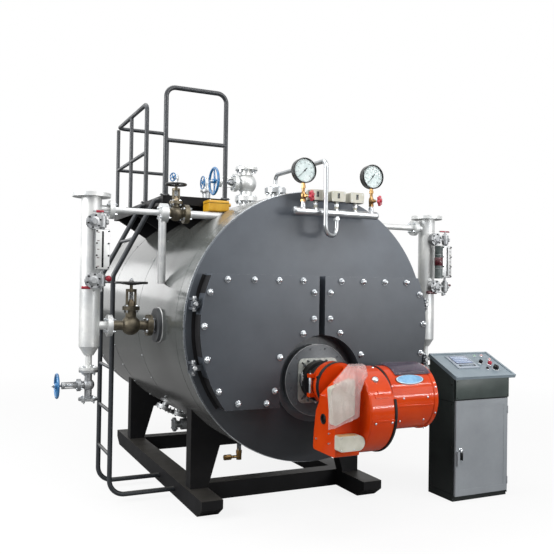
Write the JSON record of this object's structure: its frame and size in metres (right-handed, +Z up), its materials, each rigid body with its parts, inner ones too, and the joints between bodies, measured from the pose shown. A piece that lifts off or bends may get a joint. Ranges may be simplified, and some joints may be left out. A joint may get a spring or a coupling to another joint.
{
  "type": "industrial boiler",
  "caption": "Horizontal packaged boiler on a skid with burner, hinged smokebox door, water columns, valves, side platform with ladder and a control cabinet.",
  "frame": {"origin": "on the ground under the boiler's centre plane, at the plane of the shell's front edge", "axes": "+X to the right seen from the front, +Y from front to back, +Z up"},
  "size_m": [3.244, 3.982, 2.972],
  "materials": {
    "cladding": "satin grey paint",
    "front_grey": "satin blue-grey paint",
    "dark_steel": "semi-matt black paint",
    "tube_grey": "satin dark grey paint",
    "bare_steel": "dull bare steel",
    "silver_paint": "silver paint",
    "burner_red": "glossy orange-red paint",
    "white_plastic": "matt cream",
    "bronze": "dull bronze",
    "wheel_black": "black paint",
    "wheel_blue": "blue paint",
    "gauge_black": "black",
    "alarm_yellow": "yellow paint",
    "cabinet_grey": "light grey powder paint"
  },
  "bodies": {
    "root": {"shell": "cladding", "front_plate": "front_grey", "tube_sheet": "bare_steel", "furnace_tube": "bare_steel", "rear_plate": "front_grey", "flue_box": "cladding", "rear_cover": "front_grey", "skid_left": "dark_steel", "skid_right": "dark_steel", "cross_beams": "dark_steel", "saddle_front": "dark_steel", "saddle_rear": "dark_steel", "door_right": "front_grey", "door_hinges": "front_grey", "burner_collar": "dark_steel", "burner_plate": "bare_steel", "blast_tube": "burner_red", "burner_head": "burner_red", "burner_scroll": "burner_red", "burner_intake": "burner_red", "burner_servo": "white_plastic", "burner_panel": "white_plastic", "column_left": "silver_paint", "column_right": "silver_paint", "steam_line_left": "silver_paint", "steam_line_right": "silver_paint", "water_line_left": "bronze", "water_line_right": "bronze", "level_gauge_left": "bare_steel", "level_gauge_right": "bare_steel", "drain_valves": "bare_steel", "outlet_valve": "silver_paint", "vent_valve": "bare_steel", "gauge_pipe": "bare_steel", "manifold": "bare_steel", "gauge_left": "gauge_black", "gauge_right": "gauge_black", "pressure_switches": "white_plastic", "deck": "dark_steel", "deck_brackets": "dark_steel", "guard_side": "tube_grey", "guard_front": "tube_grey", "alarm_box": "alarm_yellow", "ladder": "tube_grey", "shell_drain": "bronze", "blowdown_line": "bare_steel", "cabinet": "cabinet_grey", "cabinet_panel": "cabinet_grey"},
    "left_door": {"door_left": "front_grey"},
    "outlet_handwheel": {"outlet_wheel": "wheel_blue"},
    "water_handwheel": {"water_wheel": "wheel_black"},
    "steam_handwheel": {"steam_wheel": "wheel_black"},
    "drain_handwheel": {"drain_wheel": "wheel_blue"},
    "cabinet_front": {"cabinet_door": "cabinet_grey"}
  },
  "joints": [
    {"name": "left_door_hinge", "type": "hinge", "parent": "root", "child": "left_door", "pos_m": [-0.858, -0.082, 1.27], "axis": [0, 0, -1], "range_deg": [0, 110]},
    {"name": "outlet_wheel_turn", "type": "hinge", "parent": "root", "child": "outlet_handwheel", "pos_m": [-0.283, 1.19, 2.378], "axis": [-1, 0, 0], "continuous": true},
    {"name": "water_wheel_turn", "type": "hinge", "parent": "root", "child": "water_handwheel", "pos_m": [-1.09, 0.57, 1.543], "axis": [0, 0, 1], "continuous": true},
    {"name": "steam_wheel_turn", "type": "hinge", "parent": "root", "child": "steam_handwheel", "pos_m": [-0.788, 0.57, 2.234], "axis": [0, 0, 1], "continuous": true},
    {"name": "drain_wheel_turn", "type": "hinge", "parent": "root", "child": "drain_handwheel", "pos_m": [-1.565, 0.57, 0.866], "axis": [-1, 0, 0], "continuous": true},
    {"name": "cabinet_door_hinge", "type": "hinge", "parent": "root", "child": "cabinet_front", "pos_m": [1.593, -0.126, 0.385], "axis": [0, 0, 1], "range_deg": [0, 110]}
  ]
}
